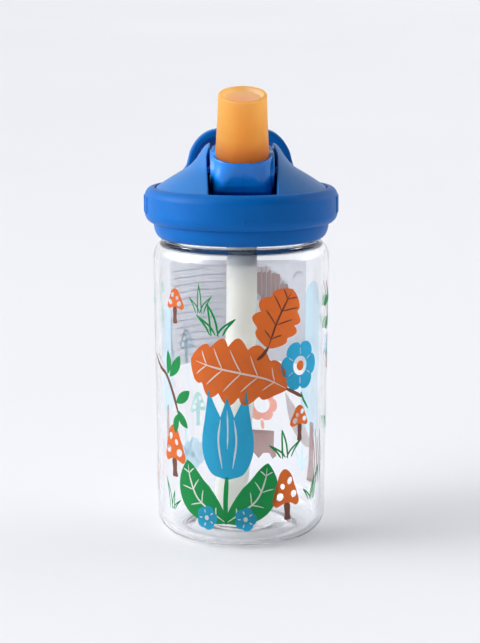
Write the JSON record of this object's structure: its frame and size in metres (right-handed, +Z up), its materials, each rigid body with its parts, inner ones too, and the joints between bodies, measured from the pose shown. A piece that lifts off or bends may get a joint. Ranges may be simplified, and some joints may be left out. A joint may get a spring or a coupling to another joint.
{
  "type": "child's drinking bottle",
  "caption": "Clear child's drinking bottle with a screw cap, carry loop, fold-back spout, soft bite valve and straw.",
  "frame": {"origin": "centre of the base, on the surface that the bottle stands on", "axes": "+Z up the bottle, -Y the side that the drinker and the mouthpiece face, +X to the right seen from that side"},
  "size_m": [0.0806, 0.08, 0.1876],
  "materials": {
    "clear_body": "clear moulded copolyester, polished, with a woodland print on its outside",
    "cap_blue": "strong blue polypropylene, fine satin",
    "cover_blue": "paler blue polypropylene, fine matte texture",
    "spout_blue": "strong blue polypropylene, polished",
    "orange_silicone": "translucent orange silicone, smooth",
    "seal_silicone": "milky white silicone",
    "straw_plastic": "milky polyethylene, a little see-through"
  },
  "bodies": {
    "bottle": {"bottle_body": "clear_body"},
    "seal": {"neck_gasket": "seal_silicone"},
    "lid": {"screw_cap": "cap_blue", "carry_band": "cap_blue", "cap_cover": "cover_blue", "port_seal": "seal_silicone", "vent_valve": "seal_silicone", "drinking_straw": "straw_plastic"},
    "spout": {"flip_spout": "spout_blue", "bite_valve": "orange_silicone"}
  },
  "joints": [
    {"name": "lid_rise", "type": "slide", "parent": "bottle", "child": "seal", "axis": [0, 0, 1], "range_m": [0, 0.0048]},
    {"name": "lid_turn", "type": "hinge", "parent": "seal", "child": "lid", "pos_m": [0, 0, 0.13], "axis": [0, 0, 1], "range_deg": [0, 360]},
    {"name": "spout_flip", "type": "hinge", "parent": "lid", "child": "spout", "pos_m": [0, -0.014, 0.1535], "axis": [-1, 0, 0], "range_deg": [0, 105]}
  ],
  "couplings": [
    {"joint": "lid_rise", "follows": "lid_turn", "m_per_rad": 0.00076394}
  ]
}
